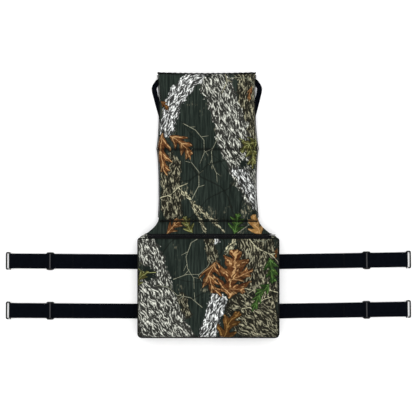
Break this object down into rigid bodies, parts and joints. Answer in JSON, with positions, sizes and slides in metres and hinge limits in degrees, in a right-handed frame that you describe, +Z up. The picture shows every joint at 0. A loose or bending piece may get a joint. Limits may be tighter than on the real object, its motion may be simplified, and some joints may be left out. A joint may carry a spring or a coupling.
{
  "type": "climbing tree stand replacement seat",
  "caption": "Padded camouflage seat cushion with a zip-on folding padded backrest, hung from webbing side straps with slide buckles and open wire hooks.",
  "frame": {"origin": "on the ground plane, under the middle of the whole object laid out flat", "axes": "+Z up, +Y from the seat's front edge to the top of the backrest, +X towards the side where the zip closes"},
  "size_m": [1.3277, 0.86, 0.0619],
  "materials": {
    "camouflage_cloth": "printed woven polyester, matte",
    "backing_cloth": "coated woven nylon, matte",
    "binding": "folded woven binding, matte",
    "webbing": "woven polypropylene webbing",
    "foam": "open-cell polyurethane foam",
    "hook_wire": "black coated steel wire, satin",
    "buckle_metal": "black coated steel, satin",
    "zip_metal": "black painted zinc",
    "zip_pull_metal": "grey zinc, worn",
    "zip_coil": "nylon coil",
    "zip_tape": "woven polyester tape"
  },
  "bodies": {
    "seat": {"seat_top_panel": "camouflage_cloth", "seat_bottom_panel": "backing_cloth", "seat_boxing": "camouflage_cloth", "seat_foam": "foam", "seat_top_welt": "binding", "seat_bottom_welt": "binding", "zip_tape_seat_side": "zip_tape", "zip_tape_back_side": "zip_tape", "zip_coil": "zip_coil", "zip_end_stops": "zip_metal", "rear_cross_strap": "webbing", "front_cross_strap": "webbing"},
    "lower_back": {"back_flap": "camouflage_cloth", "back_lower_front_cover": "camouflage_cloth", "back_lower_rear_cover": "backing_cloth", "back_lower_foam": "foam", "crease_seam_lower": "binding"},
    "upper_back": {"back_upper_front_cover": "camouflage_cloth", "back_upper_rear_cover": "backing_cloth", "back_upper_foam": "foam", "crease_seam_upper": "binding", "top_binding": "binding", "carry_band": "webbing", "left_carry_strap": "webbing", "right_carry_strap": "webbing"},
    "zip_runner": {"zip_slider": "zip_metal"},
    "zip_tab": {"zip_pull": "zip_pull_metal"},
    "left_rear_webbing": {"left_rear_strap": "webbing"},
    "left_rear_buckle": {"left_rear_slider": "buckle_metal", "left_rear_slider_bar": "buckle_metal"},
    "left_rear_catch": {"left_rear_hook": "hook_wire"},
    "left_front_webbing": {"left_front_strap": "webbing"},
    "left_front_buckle": {"left_front_slider": "buckle_metal", "left_front_slider_bar": "buckle_metal"},
    "left_front_catch": {"left_front_hook": "hook_wire"},
    "right_rear_webbing": {"right_rear_strap": "webbing"},
    "right_rear_buckle": {"right_rear_slider": "buckle_metal", "right_rear_slider_bar": "buckle_metal"},
    "right_rear_catch": {"right_rear_hook": "hook_wire"},
    "right_front_webbing": {"right_front_strap": "webbing"},
    "right_front_buckle": {"right_front_slider": "buckle_metal", "right_front_slider_bar": "buckle_metal"},
    "right_front_catch": {"right_front_hook": "hook_wire"}
  },
  "joints": [
    {"name": "back_fold", "type": "hinge", "parent": "seat", "child": "lower_back", "pos_m": [0, -0.088, 0.047], "axis": [1, 0, 0], "range_deg": [0, 170]},
    {"name": "upper_back_fold", "type": "hinge", "parent": "lower_back", "child": "upper_back", "pos_m": [0, 0.179, 0.0017], "axis": [1, 0, 0], "range_deg": [-150, 25]},
    {"name": "zip_slide", "type": "slide", "parent": "seat", "child": "zip_runner", "axis": [-1, 0, 0], "range_m": [0, 0.375]},
    {"name": "zip_pull_tilt", "type": "hinge", "parent": "zip_runner", "child": "zip_tab", "pos_m": [0.195, -0.09817, 0.05716], "axis": [0, -0.6247, 0.7809], "range_deg": [0, 170]},
    {"name": "left_rear_strap_lift", "type": "hinge", "parent": "seat", "child": "left_rear_webbing", "pos_m": [-0.2315, -0.18748, 0.0015], "axis": [0.0061, 1, 0], "range_deg": [0, 85]},
    {"name": "left_rear_buckle_slide", "type": "slide", "parent": "left_rear_webbing", "child": "left_rear_buckle", "axis": [-1, 0.0061, 0], "range_m": [-0.058, 0.09]},
    {"name": "left_rear_hook_swing", "type": "hinge", "parent": "left_rear_webbing", "child": "left_rear_catch", "pos_m": [-0.64899, -0.18493, 0.00415], "axis": [0.0061, 1, 0], "range_deg": [0, 140]},
    {"name": "left_front_strap_lift", "type": "hinge", "parent": "seat", "child": "left_front_webbing", "pos_m": [-0.2315, -0.34948, 0.0015], "axis": [0.0061, 1, 0], "range_deg": [0, 85]},
    {"name": "left_front_buckle_slide", "type": "slide", "parent": "left_front_webbing", "child": "left_front_buckle", "axis": [-1, 0.0061, 0], "range_m": [-0.058, 0.09]},
    {"name": "left_front_hook_swing", "type": "hinge", "parent": "left_front_webbing", "child": "left_front_catch", "pos_m": [-0.64899, -0.34693, 0.00415], "axis": [0.0061, 1, 0], "range_deg": [0, 140]},
    {"name": "right_rear_strap_lift", "type": "hinge", "parent": "seat", "child": "right_rear_webbing", "pos_m": [0.2315, -0.18745, 0.0015], "axis": [0.0166, -0.9999, 0], "range_deg": [0, 85]},
    {"name": "right_rear_buckle_slide", "type": "slide", "parent": "right_rear_webbing", "child": "right_rear_buckle", "axis": [0.9999, 0.0166, 0], "range_m": [-0.058, 0.09]},
    {"name": "right_rear_hook_swing", "type": "hinge", "parent": "right_rear_webbing", "child": "right_rear_catch", "pos_m": [0.64894, -0.18053, 0.00415], "axis": [0.0166, -0.9999, 0], "range_deg": [0, 140]},
    {"name": "right_front_strap_lift", "type": "hinge", "parent": "seat", "child": "right_front_webbing", "pos_m": [0.2315, -0.34945, 0.0015], "axis": [0.0166, -0.9999, 0], "range_deg": [0, 85]},
    {"name": "right_front_buckle_slide", "type": "slide", "parent": "right_front_webbing", "child": "right_front_buckle", "axis": [0.9999, 0.0166, 0], "range_m": [-0.058, 0.09]},
    {"name": "right_front_hook_swing", "type": "hinge", "parent": "right_front_webbing", "child": "right_front_catch", "pos_m": [0.64894, -0.34253, 0.00415], "axis": [0.0166, -0.9999, 0], "range_deg": [0, 140]}
  ]
}
